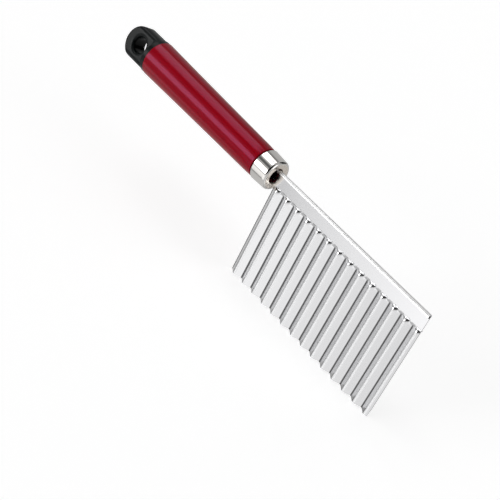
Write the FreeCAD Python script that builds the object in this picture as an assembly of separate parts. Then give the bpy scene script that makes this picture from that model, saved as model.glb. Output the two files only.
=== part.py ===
"""Crinkle cutter: a corrugated steel blade on a round handle, in millimetres.

X runs along the handle axis towards the blade tip, Z up from the cutting edge
to the spine, and -Y is the front. The origin is the centre of the overall box
in X and Y, at the height of the cutting edge.
"""
import FreeCAD, Part
import math
import os

V = FreeCAD.Vector

# Blade: one pressed sheet with a ground edge, waves, a flat band and a rolled spine
SHEET = 0.6
BLADE_LENGTH = 100.0
WAVE_PITCH = 7.3
FLANK_ANGLE = 38.0         # degrees between a flank and the blade's length
WAVE_RADIUS = 1.0          # of the bends, at the middle of the sheet
EDGE_THICKNESS = 0.15
GRIND_HEIGHT = 4.0
WAVE_HEIGHT = 47.8         # from the edge to where the run-outs start
RUN_OUT_HEIGHT = 2.7
RUN_OUT_DEPTH = 1.2        # how far the run-outs' slopes start from the band's faces
BAND_HEIGHT = 5.7
SPINE_RISE = 0.95          # how much higher the spine is at the toe than at the heel
SPINE_HEEL_RADIUS = 1.1
SPINE_TOE_RADIUS = 1.3
SPINE_SETBACK = 0.8        # from the roll's open end to the toe

# Tang: the band curls back into a gutter that enters the handle
TANG_RADIUS = 3.5
TANG_LENGTH = 33.0
TANG_CURL_LENGTH = 2.0     # from the heel to where the band is flat

# Handle stations along X, each a visible length
TAIL_LENGTH = 21.0
GRIP_LENGTH = 85.6
FERRULE_LENGTH = 9.0
HEEL_GAP = 0.6             # between the ferrule's face and the heel

# Grip: a tapered tube with a nose that the ferrule slips over
GRIP_REAR_RADIUS = 9.48
GRIP_REAR_BEVEL = 0.4
GRIP_MIDDLE_RADIUS = 8.75
GRIP_WAIST_RADIUS = 8.17
GRIP_FRONT_RADIUS = 7.8
GRIP_FRONT_ROUND = 6.0
GRIP_FRONT_BULGE = 0.1
BORE_RADIUS = 5.6
NOSE_LENGTH = 4.0

# Ferrule: a drawn cup with a rounded rim and a round mouth for the tang
FERRULE_REAR_RADIUS = 8.25
FERRULE_FRONT_RADIUS = 7.85
FERRULE_RIM_RADIUS = 1.3
RIM_BANDS = 3
FERRULE_WALL = 0.6
MOUTH_GAP = 0.35
MOUTH_LIP = 0.9

# Tang plug: a rod with a head, held in the bore by its fit and by the ferrule
PLUG_TAIL = 8.5            # how far the plug runs on behind the tang's end
PLUG_HEAD_LENGTH = 1.8
PIN_RADIUS = 1.25
PIN_SETBACK = 5.7          # from the tang's end to the pin
PIN_END_GAP = 0.3          # how deep the pin's ends lie in the plug

# End cap: a spigot with a snap bead, a collar and a flat-sided tail with a hang hole
COLLAR_RADIUS = 9.3
COLLAR_LENGTH = 2.6
COLLAR_EDGE = 0.35
TAIL_RADIUS = 9.0
TAIL_THICKNESS = 10.0
TAIL_EDGE = 0.9
TAIL_SCOOP_RADIUS = 2.2
CAP_TURN = -14.0           # degrees that the tail is turned about the handle axis
HANG_HOLE_RADIUS = 4.1
HANG_HOLE_CHAMFER = 0.9
HANG_HOLE_SETBACK = 9.9    # from the tail's end to the hole's centre
SPIGOT_LENGTH = 16.0
SPIGOT_WALL = 1.8
BEAD_HEIGHT = 0.35
BEAD_LENGTH = 1.2
BEAD_SETBACK = 4.0         # from the spigot's end to the snap bead

# Clearance between round fits, and the size below which two places are the same
FIT = 0.1
TOUCH = 1e-6

# Directions around the handle axis and the spine, in degrees
FRONT, TOP, REAR, BOTTOM = 180, 90, 0, -90

OVERALL_LENGTH = TAIL_LENGTH + GRIP_LENGTH + FERRULE_LENGTH + HEEL_GAP + BLADE_LENGTH
X_TAIL = -OVERALL_LENGTH / 2.0
X_GRIP = X_TAIL + TAIL_LENGTH
X_SHOULDER = X_GRIP + GRIP_LENGTH
X_FACE = X_SHOULDER + FERRULE_LENGTH
X_HEEL = X_FACE + HEEL_GAP
X_TOE = X_HEEL + BLADE_LENGTH

BAND_BOTTOM = WAVE_HEIGHT + RUN_OUT_HEIGHT
AXIS_HEIGHT = BAND_BOTTOM + TANG_RADIUS
X_CURLED = X_HEEL - HEEL_GAP / 2.0
X_CURL_END = X_HEEL + TANG_CURL_LENGTH
X_TANG_END = X_CURLED - TANG_LENGTH
TANG_BORE_RADIUS = TANG_RADIUS + FIT
PLUG_RADIUS = BORE_RADIUS - FIT
X_PIN = X_TANG_END + PIN_SETBACK


def axis_point(x):
    """A point on the handle axis."""
    return V(x, 0, AXIS_HEIGHT)


def turned(outline):
    """Revolve an outline of edges in the X-Z plane about the handle axis."""
    face = Part.Face(Part.Wire(Part.__sortEdges__(outline)))
    return face.revolve(axis_point(0), V(1, 0, 0), 360)


def on_radius(x, radius):
    """A point of a turned outline, given by its distance from the axis."""
    return V(x, 0, AXIS_HEIGHT + radius)


def line(a, b):
    return Part.makeLine(a, b)


def arc(a, middle, b):
    return Part.Arc(a, middle, b).toShape()


def curve(*points):
    """A smooth curve through points, for bends too shallow for an arc."""
    spline = Part.BSplineCurve()
    spline.interpolate(list(points))
    return spline.toShape()


def rod(x_from, x_to, radius):
    """A round bar on the handle axis."""
    return Part.makeCylinder(radius, x_to - x_from, axis_point(x_from), V(1, 0, 0))


def wave_side(offset, shift=0.0):
    """Points of one side of the waves, as a list of point lists, one per edge.

    offset is the distance from the middle of the sheet, + towards the back, and
    shift then moves the whole side along Y. Each list holds (x, y) pairs, two for
    a flank and three for a bend.
    """
    slope = math.radians(FLANK_ANGLE)
    half_pitch = WAVE_PITCH / 2.0
    apex = half_pitch * math.tan(slope) / 2.0
    bend_centre = apex - WAVE_RADIUS / math.cos(slope)

    def wave_bend(index):
        side = 1 if index % 2 == 0 else -1
        radius = WAVE_RADIUS + side * offset
        x = index * half_pitch
        reach = radius * math.sin(slope)
        shoulder = side * (bend_centre + radius * math.cos(slope)) + shift
        return [(x - reach, shoulder), (x, side * (bend_centre + radius) + shift), (x + reach, shoulder)]

    first = wave_bend(0)
    radius = WAVE_RADIUS + offset
    halfway = (radius * math.sin(slope / 2.0), bend_centre + radius * math.cos(slope / 2.0) + shift)
    edges = [[first[1], halfway, first[2]]]
    last = first[2]
    index = 1
    while index * half_pitch + WAVE_RADIUS < BLADE_LENGTH:
        points = wave_bend(index)
        edges.append([last, points[0]])
        edges.append(points)
        last = points[2]
        index += 1
    direction = 1 if index % 2 == 0 else -1
    flank = (BLADE_LENGTH - (index - 0.5) * half_pitch) * math.tan(slope) * direction
    edges.append([last, (BLADE_LENGTH, flank + offset / math.cos(slope) + shift)])
    return edges


def at_height(points, height):
    """Points of a wave side, placed on the blade at one height."""
    return [V(X_HEEL + x, y, height) for x, y in points]


def side_edges(side, height):
    """The edges of one side of the waves at one height, from the heel to the toe."""
    placed = [at_height(points, height) for points in side]
    return [arc(*points) if len(points) == 3 else line(*points) for points in placed]


def sheet_section(height, front, back):
    """Closed wire of the waved sheet at one height, between its front and back sides."""
    heel = line(at_height(front[0][:1], height)[0], at_height(back[0][:1], height)[0])
    toe = line(at_height(front[-1][-1:], height)[0], at_height(back[-1][-1:], height)[0])
    return Part.Wire(Part.__sortEdges__(side_edges(front, height) + side_edges(back, height) + [heel, toe]))


def waves():
    """The waved part of the blade, from the ground edge up to where the waves run out."""
    half = SHEET / 2.0
    front = wave_side(-half)
    back = wave_side(half)
    edge_back = wave_side(-half, EDGE_THICKNESS)
    return Part.makeLoft([sheet_section(0, front, edge_back), sheet_section(GRIND_HEIGHT, front, back),
                          sheet_section(WAVE_HEIGHT, front, back)], True, True)


def beyond_side(side, far):
    """The run-out's share of the space between one side of the waves and y = far."""
    edges = side_edges(side, WAVE_HEIGHT)
    start = at_height(side[0][:1], WAVE_HEIGHT)[0]
    end = at_height(side[-1][-1:], WAVE_HEIGHT)[0]
    corners = [start, V(start.x, far, WAVE_HEIGHT), V(end.x, far, WAVE_HEIGHT), end]
    edges += [line(a, b) for a, b in zip(corners, corners[1:])]
    return Part.Face(Part.Wire(Part.__sortEdges__(edges))).extrude(V(0, 0, RUN_OUT_HEIGHT))


def beyond_ramp(bottom, top, far):
    """The run-out's share of the space between a plane, given by its y below and above, and y = far."""
    corners = [V(X_HEEL, bottom, WAVE_HEIGHT), V(X_HEEL, top, BAND_BOTTOM),
               V(X_HEEL, far, BAND_BOTTOM), V(X_HEEL, far, WAVE_HEIGHT)]
    return Part.Face(Part.makePolygon(corners + corners[:1])).extrude(V(BLADE_LENGTH, 0, 0))


def run_out():
    """The end of the waves, where each one is closed by a slope down to the flat band."""
    half = SHEET / 2.0
    far = WAVE_PITCH
    behind_front = beyond_side(wave_side(-half), far).common(beyond_ramp(-RUN_OUT_DEPTH - half, -half, far))
    behind_front = behind_front.fuse(beyond_ramp(RUN_OUT_DEPTH - half, -half, far))
    before_back = beyond_side(wave_side(half), -far).common(beyond_ramp(RUN_OUT_DEPTH + half, half, -far))
    before_back = before_back.fuse(beyond_ramp(half - RUN_OUT_DEPTH, half, -far))
    return behind_front.common(before_back)


def spine_height(x):
    """Height of the line on which the spine's roll is centred."""
    return BAND_BOTTOM + BAND_HEIGHT + SPINE_RISE * (x - X_HEEL) / BLADE_LENGTH


def band():
    """The flat band above the waves, from the end of the curled tang to the toe."""
    front = -SHEET / 2.0
    corners = [V(X_CURL_END, front, BAND_BOTTOM), V(X_TOE, front, BAND_BOTTOM),
               V(X_TOE, front, spine_height(X_TOE)), V(X_CURL_END, front, spine_height(X_CURL_END))]
    return Part.Face(Part.makePolygon(corners + corners[:1])).extrude(V(0, SHEET, 0))


def bent_section(centre, radius, angles):
    """Closed section, across X, of the sheet bent around a centre through the given angles."""
    def spot(reach, degrees):
        angle = math.radians(degrees)
        return centre + V(0, math.cos(angle), math.sin(angle)) * reach

    def side(reach, marks):
        return [arc(spot(reach, a), spot(reach, (a + b) / 2.0), spot(reach, b))
                for a, b in zip(marks, marks[1:])]

    inner = radius - SHEET
    first, last = angles[0], angles[-1]
    return Part.Wire(side(radius, angles) + [line(spot(radius, last), spot(inner, last))]
                     + side(inner, angles[::-1]) + [line(spot(inner, first), spot(radius, first))])


def spine_section(x):
    """Closed section of the rolled spine at x: three quarters of a ring on the band's top."""
    share = (x - X_HEEL) / BLADE_LENGTH
    radius = SPINE_HEEL_RADIUS + share * (SPINE_TOE_RADIUS - SPINE_HEEL_RADIUS)
    return bent_section(V(x, radius - SHEET / 2.0, spine_height(x)), radius, (FRONT, TOP, REAR, BOTTOM))


def spine():
    """The rolled spine: the sheet turns over and ends behind the band, just short of the toe."""
    return Part.makeLoft([spine_section(X_CURL_END), spine_section(X_TOE - SPINE_SETBACK)], True, True)


def tang_section(x, curled):
    """The tang's closed section at x: a curled gutter, or the flat band it comes from."""
    if curled:
        return bent_section(axis_point(x), TANG_RADIUS, (BOTTOM, REAR, TOP))
    back = SHEET / 2.0
    low = BAND_BOTTOM
    top = spine_height(x)
    middle = (low + top) / 2.0
    corners = [V(x, back, low), V(x, back, middle), V(x, back, top),
               V(x, -back, top), V(x, -back, middle), V(x, -back, low)]
    return Part.makePolygon(corners + corners[:1])


def tang():
    """The curl that leaves the band, and the gutter that lies in the handle."""
    curl = Part.makeLoft([tang_section(X_CURLED, True), tang_section(X_CURL_END, False)], True, True)
    gutter = Part.Face(tang_section(X_TANG_END, True)).extrude(V(TANG_LENGTH, 0, 0))
    pin_hole = Part.makeCylinder(PIN_RADIUS + FIT, 2 * TANG_RADIUS,
                                 V(X_PIN, 0, AXIS_HEIGHT), V(0, 1, 0))
    return curl.fuse(gutter.cut(pin_hole))


def blade():
    return waves().fuse([run_out(), band(), spine(), tang()]).removeSplitter()


def rim_points(centre):
    """The ferrule's rim, bent in bands from the skirt to the face."""
    points = []
    for band_index in range(RIM_BANDS + 1):
        angle = math.pi / 2.0 * band_index / RIM_BANDS
        points.append(centre + V(math.sin(angle), 0, math.cos(angle)) * FERRULE_RIM_RADIUS)
    return points


def ferrule_radius(x):
    """Outer radius of the ferrule's tapered skirt at x."""
    share = (x - X_SHOULDER) / (FERRULE_LENGTH - FERRULE_RIM_RADIUS)
    return FERRULE_REAR_RADIUS + share * (FERRULE_FRONT_RADIUS - FERRULE_REAR_RADIUS)


def ferrule_inside(x):
    return ferrule_radius(x) - FERRULE_WALL


def skirt(radius_at, x_front):
    """One side of the ferrule's skirt, drawn through its radius at three stations."""
    stations = (X_SHOULDER, (X_SHOULDER + x_front) / 2.0, x_front)
    return curve(*[on_radius(x, radius_at(x)) for x in stations])


def ferrule():
    """Skirt, rounded rim and face, with a lip turned in around the mouth."""
    mouth = TANG_RADIUS + MOUTH_GAP
    x_rim = X_FACE - FERRULE_RIM_RADIUS
    x_lip = X_FACE - MOUTH_LIP
    x_inside = X_FACE - FERRULE_WALL
    chain = rim_points(on_radius(x_rim, FERRULE_FRONT_RADIUS - FERRULE_RIM_RADIUS))
    chain += [on_radius(X_FACE, mouth + MOUTH_LIP), on_radius(x_lip, mouth),
              on_radius(x_lip, mouth + FERRULE_WALL), on_radius(x_inside, mouth + MOUTH_LIP),
              on_radius(x_inside, ferrule_inside(x_inside))]
    outline = [line(a, b) for a, b in zip(chain, chain[1:])]
    outline += [skirt(ferrule_radius, x_rim), skirt(ferrule_inside, x_inside),
                line(on_radius(X_SHOULDER, ferrule_radius(X_SHOULDER)),
                     on_radius(X_SHOULDER, ferrule_inside(X_SHOULDER)))]
    return turned(outline)


def grip():
    """The tapered tube, with a nose in front that the ferrule slips over and a snap groove behind."""
    x_nose = X_SHOULDER + NOSE_LENGTH
    x_rear = X_GRIP + GRIP_REAR_BEVEL
    x_waist = X_SHOULDER - GRIP_FRONT_ROUND
    rear = on_radius(X_GRIP, GRIP_REAR_RADIUS - GRIP_REAR_BEVEL)
    widest = on_radius(x_rear, GRIP_REAR_RADIUS)
    middle = on_radius((x_rear + x_waist) / 2.0, GRIP_MIDDLE_RADIUS)
    waist = on_radius(x_waist, GRIP_WAIST_RADIUS)
    front = on_radius(X_SHOULDER, GRIP_FRONT_RADIUS)
    front_bulge = on_radius((x_waist + X_SHOULDER) / 2.0,
                            (GRIP_WAIST_RADIUS + GRIP_FRONT_RADIUS) / 2.0 + GRIP_FRONT_BULGE)
    nose_radius = ferrule_inside(x_nose) - FIT
    chain = [front, on_radius(X_SHOULDER, nose_radius), on_radius(x_nose, nose_radius),
             on_radius(x_nose, BORE_RADIUS), on_radius(X_GRIP, BORE_RADIUS), rear, widest]
    outline = [curve(widest, middle, waist), curve(waist, front_bulge, front)]
    outline += [line(a, b) for a, b in zip(chain, chain[1:])]
    return turned(outline).cut(snap_ring(FIT))


def snap_ring(play):
    """A ridge around the spigot: the cap's snap bead, or with some play its groove in the grip."""
    x_bead = X_GRIP + SPIGOT_LENGTH - BEAD_SETBACK
    half = BEAD_LENGTH / 2.0 + play
    base = BORE_RADIUS - FIT - BEAD_HEIGHT
    crest = BORE_RADIUS - FIT + BEAD_HEIGHT + play
    reach = half * (crest - base) / (crest - BORE_RADIUS + FIT)
    chain = [on_radius(x_bead - reach, base), on_radius(x_bead, crest), on_radius(x_bead + reach, base)]
    return turned([line(a, b) for a, b in zip(chain, chain[1:] + chain[:1])])


def tang_plug():
    """The rod that fills the bore behind the ferrule and holds the tang."""
    x_rear = X_TANG_END - PLUG_TAIL
    x_seat = X_SHOULDER + NOSE_LENGTH
    x_front = x_seat + PLUG_HEAD_LENGTH
    head = rod(x_seat, x_front, ferrule_inside(x_front) - FIT)
    stem = rod(x_rear, x_seat, PLUG_RADIUS)
    socket = rod(x_rear, x_front, TANG_BORE_RADIUS)
    cross_hole = Part.makeCylinder(PIN_RADIUS + FIT, 2 * PLUG_RADIUS,
                                   V(X_PIN, -PLUG_RADIUS, AXIS_HEIGHT), V(0, 1, 0))
    return stem.fuse(head).cut(socket).cut(cross_hole).removeSplitter()


def tang_pin():
    length = 2 * (PLUG_RADIUS - PIN_END_GAP)
    return Part.makeCylinder(PIN_RADIUS, length, V(X_PIN, -length / 2.0, AXIS_HEIGHT), V(0, 1, 0))


def tail():
    """The flat-sided tail behind the collar, rounded at its end, before it is turned."""
    x_round = X_TAIL + TAIL_RADIUS
    x_collar = X_GRIP - COLLAR_LENGTH
    round_bar = rod(X_TAIL, x_collar, TAIL_RADIUS)
    outline = Part.makeCylinder(TAIL_RADIUS, 2 * TAIL_RADIUS,
                                V(x_round, -TAIL_RADIUS, AXIS_HEIGHT), V(0, 1, 0))
    shank = Part.makeBox(x_collar - x_round, 2 * TAIL_RADIUS, 2 * TAIL_RADIUS)
    shank.translate(V(x_round, -TAIL_RADIUS, AXIS_HEIGHT - TAIL_RADIUS))
    body = round_bar.common(outline.fuse(shank))
    for side in (-1, 1):
        body = body.cut(flat_cutter(side))
    corners = [edge for edge in body.Edges
               if abs(edge.CenterOfMass.y) > TAIL_THICKNESS / 2.0 - TOUCH
               and edge.BoundBox.XLength > TOUCH]
    return body.makeChamfer(TAIL_EDGE, corners)


def flat_cutter(side):
    """What is cut from one side of the tail: a flat that scoops out to the collar."""
    depth = TAIL_RADIUS
    x_collar = X_GRIP - COLLAR_LENGTH
    flat = TAIL_THICKNESS / 2.0
    x_scoop = x_collar - TAIL_SCOOP_RADIUS
    block = Part.makeBox(x_scoop - X_TAIL, depth, 2 * TAIL_RADIUS)
    block.translate(V(X_TAIL, flat, AXIS_HEIGHT - TAIL_RADIUS))
    upper = Part.makeBox(TAIL_SCOOP_RADIUS, depth, 2 * TAIL_RADIUS)
    upper.translate(V(x_scoop, flat + TAIL_SCOOP_RADIUS, AXIS_HEIGHT - TAIL_RADIUS))
    scoop = Part.makeCylinder(TAIL_SCOOP_RADIUS, 2 * TAIL_RADIUS,
                              V(x_scoop, flat + TAIL_SCOOP_RADIUS, AXIS_HEIGHT - TAIL_RADIUS), V(0, 0, 1))
    cutter = block.fuse([upper, scoop])
    if side < 0:
        cutter = cutter.mirror(V(0, 0, 0), V(0, 1, 0))
    return cutter


def hang_hole():
    """The hole through the tail, opened out at both faces."""
    x_eye = X_TAIL + HANG_HOLE_SETBACK
    half = TAIL_THICKNESS / 2.0
    hole = Part.makeCylinder(HANG_HOLE_RADIUS, TAIL_THICKNESS, V(x_eye, -half, AXIS_HEIGHT), V(0, 1, 0))
    wide = HANG_HOLE_RADIUS + HANG_HOLE_CHAMFER
    for side in (-1, 1):
        hole = hole.fuse(Part.makeCone(wide, HANG_HOLE_RADIUS, HANG_HOLE_CHAMFER,
                                       V(x_eye, side * half, AXIS_HEIGHT), V(0, -side, 0)))
    return hole


def end_cap():
    """Spigot, collar and tail in one moulding, pushed in a little turned."""
    x_collar = X_GRIP - COLLAR_LENGTH
    collar = rod(x_collar, X_GRIP, COLLAR_RADIUS)
    collar = collar.makeChamfer(COLLAR_EDGE, [edge for edge in collar.Edges
                                              if abs(edge.CenterOfMass.x - x_collar) < TOUCH
                                              and edge.Curve.TypeId == "Part::GeomCircle"])
    spigot = rod(X_GRIP, X_GRIP + SPIGOT_LENGTH, BORE_RADIUS - FIT)
    spigot = spigot.fuse(snap_ring(0))
    hollow = rod(X_GRIP, X_GRIP + SPIGOT_LENGTH, BORE_RADIUS - FIT - SPIGOT_WALL)
    cap = tail().fuse([collar, spigot]).cut([hollow, hang_hole()]).removeSplitter()
    cap.rotate(axis_point(0), V(1, 0, 0), CAP_TURN)
    return cap


PARTS = {
    "blade": blade,
    "ferrule": ferrule,
    "grip": grip,
    "tang_plug": tang_plug,
    "tang_pin": tang_pin,
    "end_cap": end_cap,
}


def main():
    os.makedirs("parts", exist_ok=True)
    for name, make in PARTS.items():
        shape = make()
        shape.exportStep("parts/" + name + ".step")
        box = shape.BoundBox
        print(name, "solids", len(shape.Solids), "valid", shape.isValid(),
              "volume", round(shape.Volume, 1), "x", round(box.XMin, 2), round(box.XMax, 2),
              "y", round(box.YMin, 2), round(box.YMax, 2), "z", round(box.ZMin, 2), round(box.ZMax, 2))


main()
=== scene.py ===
"""Looks of the crinkle cutter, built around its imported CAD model."""

import math

import bpy
import numpy as np
from mathutils import Matrix, Vector


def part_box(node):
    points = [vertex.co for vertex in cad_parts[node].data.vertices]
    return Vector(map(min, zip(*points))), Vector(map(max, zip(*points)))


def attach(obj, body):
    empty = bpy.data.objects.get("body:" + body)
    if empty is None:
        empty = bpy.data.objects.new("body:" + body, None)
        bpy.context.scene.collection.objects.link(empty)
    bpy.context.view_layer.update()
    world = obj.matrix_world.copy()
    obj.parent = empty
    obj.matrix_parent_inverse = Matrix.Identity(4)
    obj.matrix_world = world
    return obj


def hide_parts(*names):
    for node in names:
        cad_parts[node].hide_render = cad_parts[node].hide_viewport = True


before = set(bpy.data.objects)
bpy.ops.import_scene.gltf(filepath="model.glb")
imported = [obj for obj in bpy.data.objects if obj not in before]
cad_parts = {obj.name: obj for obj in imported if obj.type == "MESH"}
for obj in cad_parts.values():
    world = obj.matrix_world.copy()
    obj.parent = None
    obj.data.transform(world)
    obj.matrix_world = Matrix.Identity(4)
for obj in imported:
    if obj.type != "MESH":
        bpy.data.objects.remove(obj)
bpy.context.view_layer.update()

# Sizes and places are in millimetres and angles in degrees, unless a name or comment says otherwise
MM = 0.001

# Sheet of the blade, its waves and its ground edge
SHEET = 0.6
HEEL_GAP = 0.6
WAVE_PITCH = 7.3
FLANK_ANGLE = 38.0
WAVE_RADIUS = 1.0
WAVE_HEIGHT = 47.2
EDGE_THICKNESS = 0.15
GRIND_HEIGHT = 4.0

# Run-outs of the waves below the band
RUN_OUT_HEIGHT = 2.6
RUN_OUT_POWER = 3.0

# Band, and the rolled spine, which rises and widens towards the toe
BAND_HEIGHT = 5.7
SPINE_RISE = 0.95
SPINE_HEEL_RADIUS = 1.1
SPINE_TOE_RADIUS = 1.3
SPINE_SWEEP = 270.0
SPINE_SETBACK = 0.8

# Curl of the sheet into the tang: its reach past the heel, and into the ferrule at the band's two edges
CURL_LENGTH = 1.3
CURL_INSIDE_BELOW = 4.5
CURL_INSIDE_ABOVE = 1.5

# Ferrule
FERRULE_TAPER = 0.4
FERRULE_RIM_RADIUS = 1.3
FERRULE_WALL = 0.6
FERRULE_EDGE = 0.15
FERRULE_INNER_EDGE = 0.1
MOUTH_GAP = 0.35
MOUTH_LIP = 0.9
MOUTH_ROUND = 0.855

# Grip, with a straight run between each rounded end and the curve
GRIP_MIDDLE_RADIUS = 8.75
GRIP_WAIST_RADIUS = 8.17
GRIP_FRONT_ROUND = 6.0
GRIP_FRONT_DROP = 0.296
GRIP_REAR_EDGE = 0.4
GRIP_FRONT_EDGE = 0.4
GRIP_FRONT_GAP = 0.9
GRIP_NECK_RADIUS = 6.6
GRIP_STRAIGHT_REAR = 2.0
GRIP_STRAIGHT_FRONT = 1.5
BORE_RADIUS = 5.6

# Collar and spigot of the end cap
COLLAR_LENGTH = 2.6
COLLAR_RADIUS = 9.3
COLLAR_EDGE = 0.4
COLLAR_FRONT_EDGE = 0.05
SPIGOT_RADIUS = 5.5
SPIGOT_WALL = 1.8
SPIGOT_EDGE = 0.3

# Tail of the end cap
TAIL_RADIUS = 9.0
TAIL_THICKNESS = 10.0
TAIL_EDGE = 1.3
TAIL_END_EDGE = 0.3
TAIL_SCOOP_RADIUS = 2.2
CAP_TURN = -14.0
HANG_HOLE_RADIUS = 4.1
HANG_HOLE_EDGE = 1.8
HANG_HOLE_SETBACK = 9.9

# Clearance between pieces, and how far beside a rounding a point holds the shading of the straight run
FIT = 0.1
HOLDING = 0.04

# Points and steps of the meshes
BEND_POINTS = 11
FLANK_POINTS = 3
TANG_POINTS = 12
CURL_POINTS = 28
WAVE_POINTS = 8
RUN_OUT_POINTS = 16
BAND_POINTS = 20
ROLL_POINTS = 24
GRIP_POINTS = 40
ROUNDING_STEPS = 8
RIM_STEPS = 12
TURN_SEGMENTS = 144
TAIL_SEGMENTS = 144
TAIL_POINTS = 112
TAIL_HALVINGS = 40

# Least width between two columns of points, decimals that tell them apart, and how near a row holds a crease
LEAST_COLUMN = 0.01
COLUMN_DECIMALS = 4
ROW_NUDGE = 0.1

# Edges that bend more than this are shown sharp
CREASE = 35.0
BLADE_CREASE = 50.0
TAIL_CREASE = 60.0

# Depths behind the blade's middle plane where the painted shade in the hollows of the waves begins and is
# full
HOLLOW_SHADE_FROM = 0.5
HOLLOW_SHADE_TO = 0.8

# Surface grain: noise in features per metre, its stretch along X, Y and Z, and the depth of its bumps
STEEL_LINE_STRETCH = (0.02, 1.0, 1.0)
STEEL_LINE_SHARE = 0.6
STEEL_CLOUDS = 60.0
STEEL_CLOUD_STRETCH = (1.0, 1.0, 0.5)
STEEL_DARKEST = 0.94
STEEL_BUMP = 0.02
PLASTIC_CLOUDS = 45.0
PLASTIC_BUMP = 0.05
NOISE_RANGE = (0.3, 0.7)

# Light of the dome straight below and straight above
DOME_LOW = 0.6
DOME_HIGH = 0.4

# Lighter boxes on the dome, and darker ones of negative strength: azimuths from -Y towards +X,
# elevations, half width of the soft edge, strength
SOFT_BOXES = (
    # The key light in front, with a bright core
    ((-47.0, -6.0), (-5.0, 18.0), 4.5, 4.2),
    ((-18.0, -9.0), (-5.0, 18.0), 2.0, 5.0),
    # The light high on the left, and its dim end
    ((-114.0, -48.0), (47.5, 63.0), 3.0, 2.3),
    ((-135.0, -117.0), (42.0, 62.0), 3.0, -0.2),
    # Dark between those two lights, round the camera and behind the cutter
    ((-66.0, -6.0), (32.0, 46.0), 3.0, -0.35),
    ((-5.0, 72.0), (-4.0, 72.0), 4.0, -0.46),
    ((135.0, 176.0), (6.0, 62.0), 4.0, -0.5),
    # The light on the right
    ((92.0, 114.0), (-10.0, 30.0), 4.0, 1.5),
    # The table in front, with a dark streak that the bends of the waves mirror
    ((-35.0, 24.0), (-46.0, -14.0), 2.0, 0.42),
    ((-26.0, 25.0), (-46.0, -14.0), 6.0, 0.4),
    ((-5.0, 5.0), (-46.0, -14.0), 2.0, -0.8),
    # The table on the right, mirrored by the broad flanks and lighter for those near the heel
    ((30.0, 56.0), (-46.0, -14.0), 3.0, 0.4),
    ((36.0, 43.0), (-46.0, -26.0), 3.0, 0.35),
    # The table on the left, dark and light in turn
    ((-45.0, -36.0), (-46.0, -20.0), 2.0, -0.25),
    ((-66.0, -46.0), (-46.0, -14.0), 3.0, 0.6),
    ((-100.0, -66.0), (-46.0, -14.0), 3.0, -0.5),
    ((-150.0, -114.0), (-33.0, -14.0), 5.0, 0.6),
)

# Floor: how strongly it shines for the camera alone, its grey and roughness, and half its width
FLOOR_GLOW = 0.7
FLOOR_GREY = 0.6
FLOOR_ROUGHNESS = 0.9
FLOOR_HALF = 3000.0

# Camera
CAMERA_PLACE = (290.05, -405.66, 305.31)
CAMERA_TARGET = (-1.29, 21.05, 0.28)
CAMERA_ROLL = -27.44
CAMERA_LENS = 88.26
CAMERA_SENSOR = 36.0
CAMERA_NEAR = 10.0
CAMERA_FAR = 20000.0


def box_mm(node):
    """Lowest and highest corner of a CAD node, in millimetres."""
    low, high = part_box(node)
    return low / MM, high / MM


blade_low, blade_high = box_mm("blade")
ferrule_low, ferrule_high = box_mm("ferrule")
grip_low, grip_high = box_mm("grip")
cap_low, cap_high = box_mm("end_cap")
pin_low, pin_high = box_mm("tang_pin")

# Places along the handle, from the CAD nodes
X_TOE = blade_high.x
X_TANG_END = blade_low.x
X_FACE = ferrule_high.x
X_SHOULDER = ferrule_low.x
X_HEEL = X_FACE + HEEL_GAP
X_CURLED = X_FACE - CURL_INSIDE_BELOW
X_FLAT = X_HEEL + CURL_LENGTH
X_SPINE = X_FACE - FIT
X_GRIP = grip_low.x
X_NOSE = grip_high.x
X_TAIL = cap_low.x
X_SPIGOT = cap_high.x
X_COLLAR = X_GRIP - COLLAR_LENGTH
X_TAIL_FRONT = X_COLLAR + COLLAR_LENGTH / 2.0
X_ROUND = X_TAIL + TAIL_RADIUS
X_EYE = X_TAIL + HANG_HOLE_SETBACK

# Heights and radii, from the CAD nodes
AXIS_Z = (ferrule_low.z + ferrule_high.z) / 2.0
TANG_RADIUS = blade_high.y
BAND_BOTTOM = AXIS_Z - TANG_RADIUS
FERRULE_RADIUS = ferrule_high.z - AXIS_Z
GRIP_REAR_RADIUS = grip_high.z - AXIS_Z

# Rows up the sheet: heights over the edge for the waves, then shares of the band and of the roll
ROW_BAND = BAND_BOTTOM
ROW_ROLL = ROW_BAND + 1.0

# The pin goes through the tang at the middle of the band's rows, in a gap that reaches this far either way
ROW_PIN = ROW_BAND + 0.5
ROW_PIN_REACH = 0.15


def finished(name, vertices, faces, *materials, crease=CREASE):
    """A smooth-shaded piece from points in millimetres, sharp where it bends more than crease."""
    mesh = bpy.data.meshes.new(name)
    mesh.from_pydata([tuple(point) for point in np.asarray(vertices) * MM], [], faces)
    mesh.polygons.foreach_set("use_smooth", [True] * len(mesh.polygons))
    mesh.set_sharp_from_angle(angle=math.radians(crease))
    for material in materials:
        mesh.materials.append(material)
    piece = bpy.data.objects.new(name, mesh)
    bpy.context.scene.collection.objects.link(piece)
    return piece


def ring_faces(rings, count):
    """Faces between each ring of count points and the next, and between the last ring and the first."""
    faces = []
    for ring in range(rings):
        here, there = ring * count, (ring + 1) % rings * count
        for number in range(count):
            after = (number + 1) % count
            faces.append([here + number, there + number, there + after, here + after])
    return faces


# Materials


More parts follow.
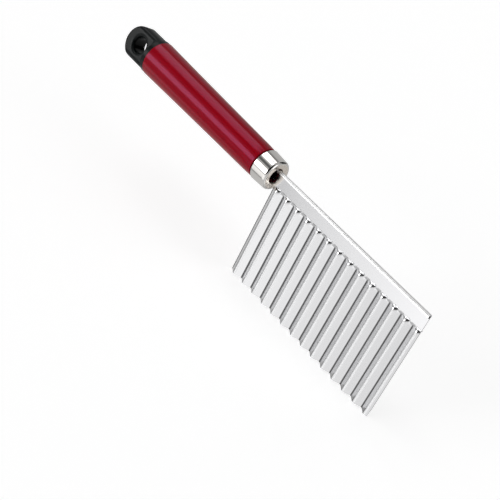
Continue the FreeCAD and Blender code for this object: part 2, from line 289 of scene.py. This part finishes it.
class Shader:
    """Short ways to add and link the nodes of one node tree."""

    def __init__(self, tree):
        self.tree = tree

    def node(self, kind, inputs=None, **settings):
        """A new node; an input given as a socket is linked, and any other is set."""
        made = self.tree.nodes.new(kind)
        for name, value in settings.items():
            setattr(made, name, value)
        for name, value in (inputs or {}).items():
            if isinstance(value, bpy.types.NodeSocket):
                self.tree.links.new(value, made.inputs[name])
            else:
                made.inputs[name].default_value = value
        return made

    def math(self, operation, *values):
        """The result of an operation on numbers or sockets."""
        return self.node("ShaderNodeMath", dict(enumerate(values)), operation=operation).outputs[0]

    def remap(self, value, low, high, to_low, to_high, **settings):
        """The value between low and high, taken to between to_low and to_high."""
        inputs = {"Value": value, "From Min": low, "From Max": high, "To Min": to_low, "To Max": to_high}
        return self.node("ShaderNodeMapRange", inputs, **settings).outputs["Result"]

    def noise(self, scale, stretch=(1.0, 1.0, 1.0), detail=3.0):
        """Noise over the object; scale is in features per metre."""
        place = self.node("ShaderNodeTexCoord").outputs["Object"]
        place = self.node("ShaderNodeMapping", {"Vector": place, "Scale": stretch}).outputs["Vector"]
        inputs = {"Vector": place, "Scale": scale, "Detail": detail}
        return self.node("ShaderNodeTexNoise", inputs).outputs["Fac"]

    def bump(self, height, strength, distance):
        """A normal tilted by height; distance is in millimetres."""
        inputs = {"Height": height, "Strength": strength, "Distance": distance * MM}
        return self.node("ShaderNodeBump", inputs).outputs["Normal"]

    def depth_behind(self):
        """How far the surface lies behind the blade's middle plane, as seen from the side that it faces."""
        place = self.node("ShaderNodeTexCoord").outputs["Object"]
        facing = self.node("ShaderNodeNewGeometry").outputs["Normal"]
        place, facing = (self.node("ShaderNodeSeparateXYZ", {"Vector": socket}).outputs["Y"]
                         for socket in (place, facing))
        return self.math("MULTIPLY", self.math("MULTIPLY", place, facing), -1.0)

    def shade(self, value, dark, light):
        """A colour between dark and light."""
        return self.node("ShaderNodeMix", {"Factor": value, "A": (*dark, 1.0), "B": (*light, 1.0)},
                         data_type="RGBA").outputs["Result"]


def principled(name, **inputs):
    """A new material; its Shader and its principled shader, with these inputs set."""
    material = bpy.data.materials.new(name)
    material.use_nodes = True
    shader = Shader(material.node_tree)
    surface = material.node_tree.nodes["Principled BSDF"]
    for key, value in inputs.items():
        surface.inputs[key.replace("_", " ")].default_value = value
    return material, shader, surface


def connect(shader, surface, **sockets):
    """Link sockets to the inputs of a principled shader, named with underscores for spaces."""
    for key, socket in sockets.items():
        shader.tree.links.new(socket, surface.inputs[key.replace("_", " ")])


def brushed_steel(name, colour, roughness, grain, depth, hollow_shade=1.0):
    """Steel with fine lines along X: grain of them per metre, and the greater depth, the plainer they show.

    In the hollows of the waves, the colour is multiplied by the last argument, which paints shade into them.
    """
    material, shader, surface = principled(name, Metallic=1.0)
    lines = shader.noise(grain, STEEL_LINE_STRETCH)
    clouds = shader.noise(STEEL_CLOUDS, STEEL_CLOUD_STRETCH)
    mixed = shader.math("ADD", shader.math("MULTIPLY", lines, STEEL_LINE_SHARE),
                        shader.math("MULTIPLY", clouds, 1.0 - STEEL_LINE_SHARE))
    base = shader.shade(mixed, tuple(STEEL_DARKEST * part for part in colour), colour)
    if hollow_shade < 1.0:
        # Painted shade: the colour darkens where the surface lies behind the middle plane, in the hollows
        painted_shade = shader.remap(shader.depth_behind(), HOLLOW_SHADE_FROM * MM, HOLLOW_SHADE_TO * MM, 1.0, hollow_shade)
        base = shader.node("ShaderNodeVectorMath", {0: base, "Scale": painted_shade}, operation="SCALE").outputs[0]
    connect(shader, surface, Base_Color=base, Roughness=shader.remap(mixed, *NOISE_RANGE, *roughness),
            Normal=shader.bump(lines, depth, STEEL_BUMP))
    return material


def plastic(name, dark, light, roughness, grain, depth, tint=(1.0, 1.0, 1.0), ior=1.5):
    """Moulded plastic, faintly uneven, with grain features per metre; tint colours what it mirrors."""
    material, shader, surface = principled(name, IOR=ior, Specular_Tint=(*tint, 1.0))
    clouds = shader.noise(PLASTIC_CLOUDS)
    fine = shader.noise(grain, detail=2.0)
    connect(shader, surface, Base_Color=shader.shade(clouds, dark, light),
            Roughness=shader.remap(clouds, *NOISE_RANGE, *roughness),
            Normal=shader.bump(fine, depth, PLASTIC_BUMP))
    return material


# The blade's steel gets painted shade in the hollows of its waves and inside the curled tang
blade_steel = brushed_steel("blade_steel", colour=(0.80, 0.80, 0.81), roughness=(0.13, 0.20),
                            grain=7000.0, depth=0.12, hollow_shade=0.1)
spine_steel = brushed_steel("spine_steel", colour=(0.86, 0.86, 0.86), roughness=(0.40, 0.48),
                            grain=7000.0, depth=0.15)
ground_steel = brushed_steel("ground_steel", colour=(0.86, 0.86, 0.86), roughness=(0.28, 0.36),
                             grain=5000.0, depth=0.35)
pin_steel = brushed_steel("pin_steel", colour=(0.62, 0.62, 0.63), roughness=(0.30, 0.40),
                          grain=6000.0, depth=0.2)
ferrule_chrome = brushed_steel("ferrule_chrome", colour=(0.87, 0.85, 0.82), roughness=(0.07, 0.12),
                               grain=3000.0, depth=0.02)
# The end face is rougher than the skirt; its warm beige colour is a painted warm reflection
ferrule_face_dull_painted_warm = brushed_steel("ferrule_face_dull_painted_warm", colour=(0.86, 0.79, 0.71), roughness=(0.24, 0.32),
                             grain=3000.0, depth=0.05)
grip_red = plastic("grip_red", dark=(0.33, 0.001, 0.007), light=(0.36, 0.002, 0.009),
                   roughness=(0.12, 0.17), grain=400.0, depth=0.05, tint=(1.0, 0.3, 0.7), ior=1.34)
cap_black = plastic("cap_black", dark=(0.007, 0.009, 0.009), light=(0.011, 0.013, 0.013),
                    roughness=(0.22, 0.28), grain=2500.0, depth=0.1, ior=1.21)
# What shows of the plug in the ferrule's mouth is a dark red-brown
plug_black = plastic("plug_black", dark=(0.24, 0.030, 0.036), light=(0.28, 0.036, 0.042),
                     roughness=(0.45, 0.55), grain=2500.0, depth=0.3)


# Blade


def wave(x):
    """Height of the waves' middle line at x, positive in the troughs at the back."""
    slope = math.radians(FLANK_ANGLE)
    half_pitch = WAVE_PITCH / 2.0
    apex = half_pitch * math.tan(slope) / 2.0
    bend_centre = apex - WAVE_RADIUS / math.cos(slope)
    index = np.round((x - X_HEEL) / half_pitch)
    away = np.abs(x - X_HEEL - index * half_pitch)
    side = 1.0 - 2.0 * np.mod(index, 2)
    bend = bend_centre + np.sqrt(np.maximum(WAVE_RADIUS ** 2 - away ** 2, 0.0))
    return side * np.where(away < WAVE_RADIUS * math.sin(slope), bend, apex - away * math.tan(slope))


def spine_height(x):
    """Height of the top of the band, where the roll begins."""
    return BAND_BOTTOM + BAND_HEIGHT + SPINE_RISE * (x - X_HEEL) / (X_TOE - X_HEEL)


def spine_radius(x):
    """Radius of the middle of the sheet in the rolled spine."""
    share = (x - X_HEEL) / (X_TOE - X_HEEL)
    return SPINE_HEEL_RADIUS + share * (SPINE_TOE_RADIUS - SPINE_HEEL_RADIUS) - SHEET / 2.0


def smooth_step(value, start, end):
    """0 at start and 1 at end, level at both."""
    share = np.clip((value - start) / (end - start), 0.0, 1.0)
    return share * share * (3.0 - 2.0 * share)


def sheet_middle(x, row):
    """Points of the middle of the sheet; x and row are arrays of one shape."""
    # The waves, which run out below the band
    rising = np.clip((row - WAVE_HEIGHT) / RUN_OUT_HEIGHT, 0.0, 1.0)
    waved = np.stack([x, wave(x) * np.sqrt(1.0 - rising ** RUN_OUT_POWER), row], -1)

    # The band, flat outside the ferrule and curled about the handle axis inside it
    share = np.clip(row - ROW_BAND, 0.0, 1.0)
    flat = np.stack([x, np.zeros_like(x), BAND_BOTTOM + share * (spine_height(x) - BAND_BOTTOM)], -1)
    turn = math.pi * (share - 0.5)
    gutter = TANG_RADIUS - SHEET / 2.0
    curled = np.stack([x, gutter * np.cos(turn), AXIS_Z + gutter * np.sin(turn)], -1)
    curled_until = X_CURLED + (CURL_INSIDE_BELOW - CURL_INSIDE_ABOVE) * share
    flat_from = X_FLAT + (X_SPINE - X_FLAT) * share
    band = curled + (flat - curled) * smooth_step(x, curled_until, flat_from)[..., None]

    # The spine, rolled over to the back
    angle = np.clip(row - ROW_ROLL, 0.0, 1.0) * math.radians(SPINE_SWEEP)
    radius = spine_radius(x)
    roll = np.stack([x, radius * (1.0 - np.cos(angle)), spine_height(x) + radius * np.sin(angle)], -1)
    return np.where((row < ROW_BAND)[..., None], waved, np.where((row <= ROW_ROLL)[..., None], band, roll))


def sheet_normal(x, row):
    """Unit vectors across the sheet, towards the back."""
    step = 0.002
    along = sheet_middle(x + step, row) - sheet_middle(x - step, row)
    up = sheet_middle(x, row + step) - sheet_middle(x, row - step)
    across = np.cross(up, along)
    return across / np.linalg.norm(across, axis=-1, keepdims=True)


def wave_stations():
    """Where the waves have columns of points: closely spaced in the bends, few on the flanks."""
    half_pitch = WAVE_PITCH / 2.0
    reach = WAVE_RADIUS * math.sin(math.radians(FLANK_ANGLE))
    bend = reach * np.sin(np.linspace(-0.5, 0.5, BEND_POINTS) * math.pi)
    flank = np.linspace(reach, half_pitch - reach, FLANK_POINTS + 2)[1:-1]
    waves = np.arange(0, math.ceil((X_TOE - X_HEEL) / half_pitch) + 1) * half_pitch
    offsets = np.concatenate([bend, flank])
    stations = (X_HEEL + waves[:, None] + offsets[None, :]).ravel()
    return stations[(stations > X_HEEL) & (stations < X_TOE)]


def sheet_columns():
    """The x of each column of points, from the tang's end to the toe, without near doubles."""
    tang = np.linspace(X_TANG_END, X_CURLED, TANG_POINTS)
    pin = np.array([pin_low.x - FIT, pin_high.x + FIT])
    curl = np.linspace(X_CURLED, X_FLAT, CURL_POINTS)
    stops = np.array([X_SPINE, X_HEEL, X_TOE - SPINE_SETBACK, X_TOE])
    every = np.concatenate([tang, pin, curl, wave_stations(), stops])
    every = np.unique(np.round(every, COLUMN_DECIMALS))
    return every[np.concatenate([[True], np.diff(every) > LEAST_COLUMN])]


def sheet_rows():
    """The rows of points up the sheet, from the edge to the end of the roll."""
    ground = np.array([0.0, GRIND_HEIGHT / 2.0, GRIND_HEIGHT - ROW_NUDGE, GRIND_HEIGHT,
                       GRIND_HEIGHT + ROW_NUDGE])
    waved = np.linspace(GRIND_HEIGHT, WAVE_HEIGHT, WAVE_POINTS + 1)[1:]
    rise = np.sin(np.linspace(0.0, 0.5, RUN_OUT_POINTS + 1)[1:] * math.pi)
    run_out = np.append(WAVE_HEIGHT + RUN_OUT_HEIGHT * rise, BAND_BOTTOM)
    band = ROW_BAND + np.linspace(0.0, 1.0, BAND_POINTS + 1)[1:]
    roll = ROW_ROLL + np.linspace(0.0, 1.0, ROLL_POINTS + 1)[1:]
    return np.concatenate([ground, waved, run_out, band, roll])


def in_sheet(x, row):
    """Whether the sheet covers this place."""
    if row < ROW_BAND:
        return x > X_HEEL
    if row < ROW_ROLL:
        beside_pin = pin_low.x - FIT < x < pin_high.x + FIT
        return not (beside_pin and abs(row - ROW_PIN) < ROW_PIN_REACH)
    return X_SPINE < x < X_TOE - SPINE_SETBACK


def sheet_cells(columns, rows):
    """The cells that the sheet covers, by the numbers of their first column and row."""
    return [(i, j) for i in range(len(columns) - 1) for j in range(len(rows) - 1)
            if in_sheet((columns[i] + columns[i + 1]) / 2.0, (rows[j] + rows[j + 1]) / 2.0)]


def sheet_skins(columns, rows):
    """Front and back of the sheet at every column and row, with the edge ground thin from the back."""
    x, row = np.meshgrid(columns, rows, indexing="ij")
    half = SHEET / 2.0
    middle, across = sheet_middle(x, row), sheet_normal(x, row) * half
    # The toe is cut square, so there the back lies straight behind the front
    at_toe = across[-1, rows <= ROW_ROLL, 1]
    across[-1, rows <= ROW_ROLL] = np.outer(half ** 2 / at_toe, (0.0, 1.0, 0.0))
    front = middle - across
    edge = front + np.array([0.0, EDGE_THICKNESS, 0.0])
    ground = np.clip(row / GRIND_HEIGHT, 0.0, 1.0)[..., None]
    return front, edge + (middle + across - edge) * ground


def blade():
    """The whole sheet: a front and a back skin, and a wall wherever the sheet ends."""
    columns, rows = sheet_columns(), sheet_rows()
    skins = dict(zip(("front", "back"), sheet_skins(columns, rows)))
    cells = sheet_cells(columns, rows)
    covered = set(cells)
    numbers, points = {}, []

    def corner(spot, skin):
        """Number of the point of a skin at a spot, which is a column and a row."""
        if (spot, skin) not in numbers:
            numbers[spot, skin] = len(points)
            points.append(skins[skin][spot])
        return numbers[spot, skin]

    plain, ground, rolled = range(3)
    faces, slots = [], []
    for i, j in cells:
        ring = [(i, j), (i + 1, j), (i + 1, j + 1), (i, j + 1)]
        beside = [(i, j - 1), (i + 1, j), (i, j + 1), (i - 1, j)]
        faces.append([corner(spot, "front") for spot in ring])
        slots.append(rolled if rows[j] >= ROW_ROLL else plain)
        faces.append([corner(spot, "back") for spot in reversed(ring)])
        slots.append(ground if rows[j + 1] <= GRIND_HEIGHT else plain)
        for here, there, cell in zip(ring, ring[1:] + ring[:1], beside):
            if cell not in covered:
                faces.append([corner(there, "front"), corner(here, "front"),
                              corner(here, "back"), corner(there, "back")])
                slots.append(plain)
    piece = finished("blade_sheet", points, faces, blade_steel, ground_steel, spine_steel,
                     crease=BLADE_CREASE)
    piece.data.polygons.foreach_set("material_index", slots)
    return piece


# Turned pieces


def rounded(corners, steps=ROUNDING_STEPS):
    """A closed outline through (x, radius, rounding) corners, each rounded off by its own radius.

    A point just outside each end of a rounding keeps the shading of the straight runs even.
    """
    outline = []
    for number, (x, y, rounding) in enumerate(corners):
        here = Vector((x, y))
        if rounding == 0.0:
            outline.append(here)
            continue
        before = (Vector(corners[number - 1][:2]) - here).normalized()
        after = (Vector(corners[(number + 1) % len(corners)][:2]) - here).normalized()
        half = before.angle(after) / 2.0
        reach = rounding / math.tan(half)
        centre = here + (before + after).normalized() * rounding / math.sin(half)
        start = (here + before * reach - centre).normalized()
        end = (here + after * reach - centre).normalized()
        outline.append(here + before * (reach + HOLDING))
        outline += [centre + start.slerp(end, step / steps) * rounding for step in range(steps + 1)]
        outline.append(here + after * (reach + HOLDING))
    return outline


def turned(name, outline, material):
    """A closed outline of (x, radius) points turned about the handle axis."""
    angles = np.linspace(0.0, 2.0 * math.pi, TURN_SEGMENTS, endpoint=False)
    points = [(x, -radius * math.cos(angle), AXIS_Z + radius * math.sin(angle))
              for angle in angles for x, radius in outline]
    return finished(name, points, ring_faces(TURN_SEGMENTS, len(outline)), material)


def ferrule_radius(x):
    """Outer radius of the tapered skirt."""
    return FERRULE_RADIUS - FERRULE_TAPER * (x - X_SHOULDER) / (X_FACE - FERRULE_RIM_RADIUS - X_SHOULDER)


def ferrule():
    """The cup with its rounded rim and rolled-in mouth; its flat face has a duller finish and a painted warm
    reflection in its colour.
    """
    mouth = TANG_RADIUS + MOUTH_GAP
    x_lip = X_FACE - MOUTH_LIP
    x_inside = X_FACE - FERRULE_WALL
    piece = turned("ferrule_cup", rounded([
        (X_SHOULDER, ferrule_radius(X_SHOULDER), FERRULE_EDGE),
        (X_FACE, ferrule_radius(X_FACE), FERRULE_RIM_RADIUS),
        (X_FACE, mouth, MOUTH_ROUND),
        (x_lip, mouth, 0.0),
        (x_lip, mouth + FERRULE_WALL, 0.0),
        (x_inside, mouth + MOUTH_LIP, 0.0),
        (x_inside, ferrule_radius(x_inside) - FERRULE_WALL, 0.0),
        (X_SHOULDER, ferrule_radius(X_SHOULDER) - FERRULE_WALL, FERRULE_INNER_EDGE)],
        steps=RIM_STEPS), ferrule_chrome)
    piece.data.materials.append(ferrule_face_dull_painted_warm)
    for polygon in piece.data.polygons:
        x, y, z = polygon.center / MM
        in_face = math.hypot(y, z - AXIS_Z) < FERRULE_RADIUS - FERRULE_TAPER - FERRULE_RIM_RADIUS
        polygon.material_index = int(in_face and x > x_lip)
    return piece


def grip_radius(x):
    """Outer radius of the grip: a long shallow curve that drops away in front."""
    x_rear = X_GRIP + GRIP_REAR_EDGE
    x_waist = X_SHOULDER - GRIP_FRONT_ROUND
    share = (x - x_rear) / (x_waist - x_rear)
    sag = 4.0 * (GRIP_MIDDLE_RADIUS - (GRIP_REAR_RADIUS + GRIP_WAIST_RADIUS) / 2.0)
    body = GRIP_REAR_RADIUS + share * (GRIP_WAIST_RADIUS - GRIP_REAR_RADIUS) + sag * share * (1.0 - share)
    return body - GRIP_FRONT_DROP * max(0.0, (x - x_waist) / (X_SHOULDER - x_waist)) ** 2


def grip():
    """The tube with its curved outside, a groove before the ferrule and a nose inside it."""
    nose = ferrule_radius(X_NOSE) - FERRULE_WALL - FIT
    x_front = X_SHOULDER - GRIP_FRONT_GAP
    stations = np.linspace(X_GRIP + GRIP_STRAIGHT_REAR, x_front - GRIP_STRAIGHT_FRONT, GRIP_POINTS)
    return turned("grip_tube", rounded([
        (X_GRIP, BORE_RADIUS, 0.0),
        (X_GRIP, GRIP_REAR_RADIUS, GRIP_REAR_EDGE),
        *[(x, grip_radius(x), 0.0) for x in stations],
        (x_front, grip_radius(x_front), GRIP_FRONT_EDGE),
        (x_front, GRIP_NECK_RADIUS, 0.0),
        (X_SHOULDER, GRIP_NECK_RADIUS, 0.0),
        (X_SHOULDER, nose, 0.0),
        (X_NOSE, nose, 0.0),
        (X_NOSE, BORE_RADIUS, 0.0)]), grip_red)


# End cap


def rounded_max(a, b, radius):
    """The greater of two distances, rounded where they meet."""
    over = np.maximum(radius - np.abs(a - b), 0.0)
    return np.maximum(a, b) + over * over / (4.0 * radius)


def tail_distance(x, y, z):
    """Rough distance outside the tail's surface, before it is turned; y and z are measured from the axis."""
    into_scoop = np.clip(x - (X_COLLAR - TAIL_SCOOP_RADIUS), 0.0, TAIL_SCOOP_RADIUS)
    half = TAIL_THICKNESS / 2.0 + TAIL_SCOOP_RADIUS - np.sqrt(TAIL_SCOOP_RADIUS ** 2 - into_scoop ** 2)
    flats = np.abs(y) - half
    bar = np.hypot(y, z) - TAIL_RADIUS
    end = np.where(x < X_ROUND, np.hypot(x - X_ROUND, z), np.abs(z)) - TAIL_RADIUS
    body = rounded_max(rounded_max(bar, end, TAIL_END_EDGE), flats, TAIL_EDGE)
    body = np.maximum(body, x - X_TAIL_FRONT)
    hole = HANG_HOLE_RADIUS - np.hypot(x - X_EYE, z)
    return rounded_max(body, hole, HANG_HOLE_EDGE)


def tail():
    """The tail as a ring around the hang hole: loops of points in planes through the hole's axis.

    Each loop goes round a place inside the solid, and halving finds how far out from there the surface is.
    """
    turn = np.linspace(0.0, 2.0 * math.pi, TAIL_SEGMENTS, endpoint=False)[:, None]
    loop = np.linspace(0.0, 2.0 * math.pi, TAIL_POINTS, endpoint=False)[None, :]
    tiny = 1e-6
    sideways = TAIL_RADIUS / np.maximum(np.abs(np.sin(turn)), tiny)
    forward = (X_TAIL_FRONT - X_EYE) / np.maximum(np.cos(turn), tiny)
    reach = np.where(np.cos(turn) > 0.0, np.minimum(sideways, forward), TAIL_RADIUS)
    middle = (HANG_HOLE_RADIUS + reach) / 2.0

    def spot(distance):
        """Places at this distance from the middle of their loops."""
        out = middle + distance * np.cos(loop)
        return X_EYE + out * np.cos(turn), distance * np.sin(loop), out * np.sin(turn)

    near = np.zeros((TAIL_SEGMENTS, TAIL_POINTS))
    far = np.full((TAIL_SEGMENTS, TAIL_POINTS), 2.0 * TAIL_RADIUS)
    for _ in range(TAIL_HALVINGS):
        half_way = (near + far) / 2.0
        inside = tail_distance(*spot(half_way)) < 0.0
        near, far = np.where(inside, half_way, near), np.where(inside, far, half_way)
    x, y, z = spot(near)
    points = np.stack([x, y, z + AXIS_Z], -1).reshape(-1, 3)
    # The loops run the other way round than in the turned pieces, so the faces are turned over
    faces = [[first, last, third, second]
             for first, second, third, last in ring_faces(TAIL_SEGMENTS, TAIL_POINTS)]
    return points, faces


def end_cap():
    """The tail, turned about the handle axis, and the collar with its spigot."""
    points, faces = tail()
    ring = turned("cap_collar", rounded([
        (X_COLLAR, SPIGOT_RADIUS - SPIGOT_WALL, 0.0),
        (X_COLLAR, COLLAR_RADIUS, COLLAR_EDGE),
        (X_GRIP, COLLAR_RADIUS, COLLAR_FRONT_EDGE),
        (X_GRIP, SPIGOT_RADIUS, 0.0),
        (X_SPIGOT, SPIGOT_RADIUS, SPIGOT_EDGE),
        (X_SPIGOT, SPIGOT_RADIUS - SPIGOT_WALL, 0.0)]), cap_black)
    piece = finished("cap_tail", points, faces, cap_black, crease=TAIL_CREASE)
    axis = Vector((0.0, 0.0, AXIS_Z * MM))
    turn = Matrix.Rotation(math.radians(CAP_TURN), 4, "X")
    piece.data.transform(Matrix.Translation(axis) @ turn @ Matrix.Translation(-axis))
    return piece, ring


blade_sheet = blade()
ferrule_cup = ferrule()
grip_tube = grip()
cap_tail, cap_collar = end_cap()
for piece, node, slot in ((blade_sheet, "blade", "blade_steel"), (ferrule_cup, "ferrule", "ferrule_chrome"),
                          (grip_tube, "grip", "grip_red"), (cap_tail, "end_cap", "cap_black"),
                          (cap_collar, "end_cap", "cap_black")):
    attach(piece, "root")
    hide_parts(node)
for node, material in (("tang_plug", plug_black), ("tang_pin", pin_steel)):
    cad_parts[node].data.materials.clear()
    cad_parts[node].data.materials.append(material)


# Floor, light and camera


def floor():
    """A floor that looks white to the camera and keeps a soft shadow, but isn't mirrored in the metal."""
    grey = (FLOOR_GREY, FLOOR_GREY, FLOOR_GREY, 1.0)
    material, shader, paint = principled("pale_floor", Base_Color=grey, Roughness=FLOOR_ROUGHNESS,
                                         Specular_IOR_Level=0.0, Emission_Color=(1.0, 1.0, 1.0, 1.0))
    seen = shader.node("ShaderNodeLightPath").outputs["Is Camera Ray"]
    connect(shader, paint, Emission_Strength=shader.math("MULTIPLY", seen, FLOOR_GLOW))
    corners = [(x * FLOOR_HALF, y * FLOOR_HALF, 0.0) for x, y in ((-1, -1), (1, -1), (1, 1), (-1, 1))]
    piece = finished("floor", corners, [[0, 1, 2, 3]], material)
    piece.visible_glossy = False
    piece.visible_shadow = False


def studio():
    """A light dome given by direction, which the camera itself sees as plain white."""
    world = bpy.data.worlds.new("studio")
    bpy.context.scene.world = world
    world.use_nodes = True
    shader = Shader(world.node_tree)
    direction = shader.node("ShaderNodeTexCoord").outputs["Generated"]
    parts = shader.node("ShaderNodeSeparateXYZ", {"Vector": direction}).outputs
    to_front = shader.math("MULTIPLY", parts["Y"], -1.0)
    azimuth = shader.math("DEGREES", shader.math("ARCTAN2", parts["X"], to_front))
    elevation = shader.math("DEGREES", shader.math("ARCSINE", parts["Z"]))

    def between(value, low, high, edge):
        """1 between low and high and 0 outside, with an edge that is soft for this much either way."""
        up = shader.remap(value, low - edge, low + edge, 0.0, 1.0, interpolation_type="SMOOTHSTEP")
        down = shader.remap(value, high - edge, high + edge, 1.0, 0.0, interpolation_type="SMOOTHSTEP")
        return shader.math("MULTIPLY", up, down)

    light = shader.remap(elevation, -90.0, 90.0, DOME_LOW, DOME_HIGH)
    for across, height, edge, strength in SOFT_BOXES:
        box = shader.math("MULTIPLY", between(azimuth, *across, edge), between(elevation, *height, edge))
        light = shader.math("ADD", light, shader.math("MULTIPLY", box, strength))
    light = shader.math("MAXIMUM", light, 0.0)
    seen = shader.node("ShaderNodeLightPath").outputs["Is Camera Ray"]
    unseen = shader.math("SUBTRACT", 1.0, seen)
    strength = shader.math("ADD", shader.math("MULTIPLY", light, unseen), seen)
    background = world.node_tree.nodes["Background"]
    background.inputs["Color"].default_value = (1.0, 1.0, 1.0, 1.0)
    shader.tree.links.new(strength, background.inputs["Strength"])


def camera():
    """The photo's point of view."""
    eye, target = Vector(CAMERA_PLACE) * MM, Vector(CAMERA_TARGET) * MM
    data = bpy.data.cameras.new("camera")
    data.lens = CAMERA_LENS
    data.sensor_width = CAMERA_SENSOR
    data.clip_start = CAMERA_NEAR * MM
    data.clip_end = CAMERA_FAR * MM
    seen = bpy.data.objects.new("camera", data)
    bpy.context.scene.collection.objects.link(seen)
    level = (target - eye).to_track_quat("-Z", "Y").to_matrix().to_4x4()
    roll = Matrix.Rotation(math.radians(-CAMERA_ROLL), 4, "Z")
    seen.matrix_world = Matrix.Translation(eye) @ level @ roll
    bpy.context.scene.camera = seen


floor()
studio()
camera()
bpy.context.scene.view_settings.view_transform = "Standard"
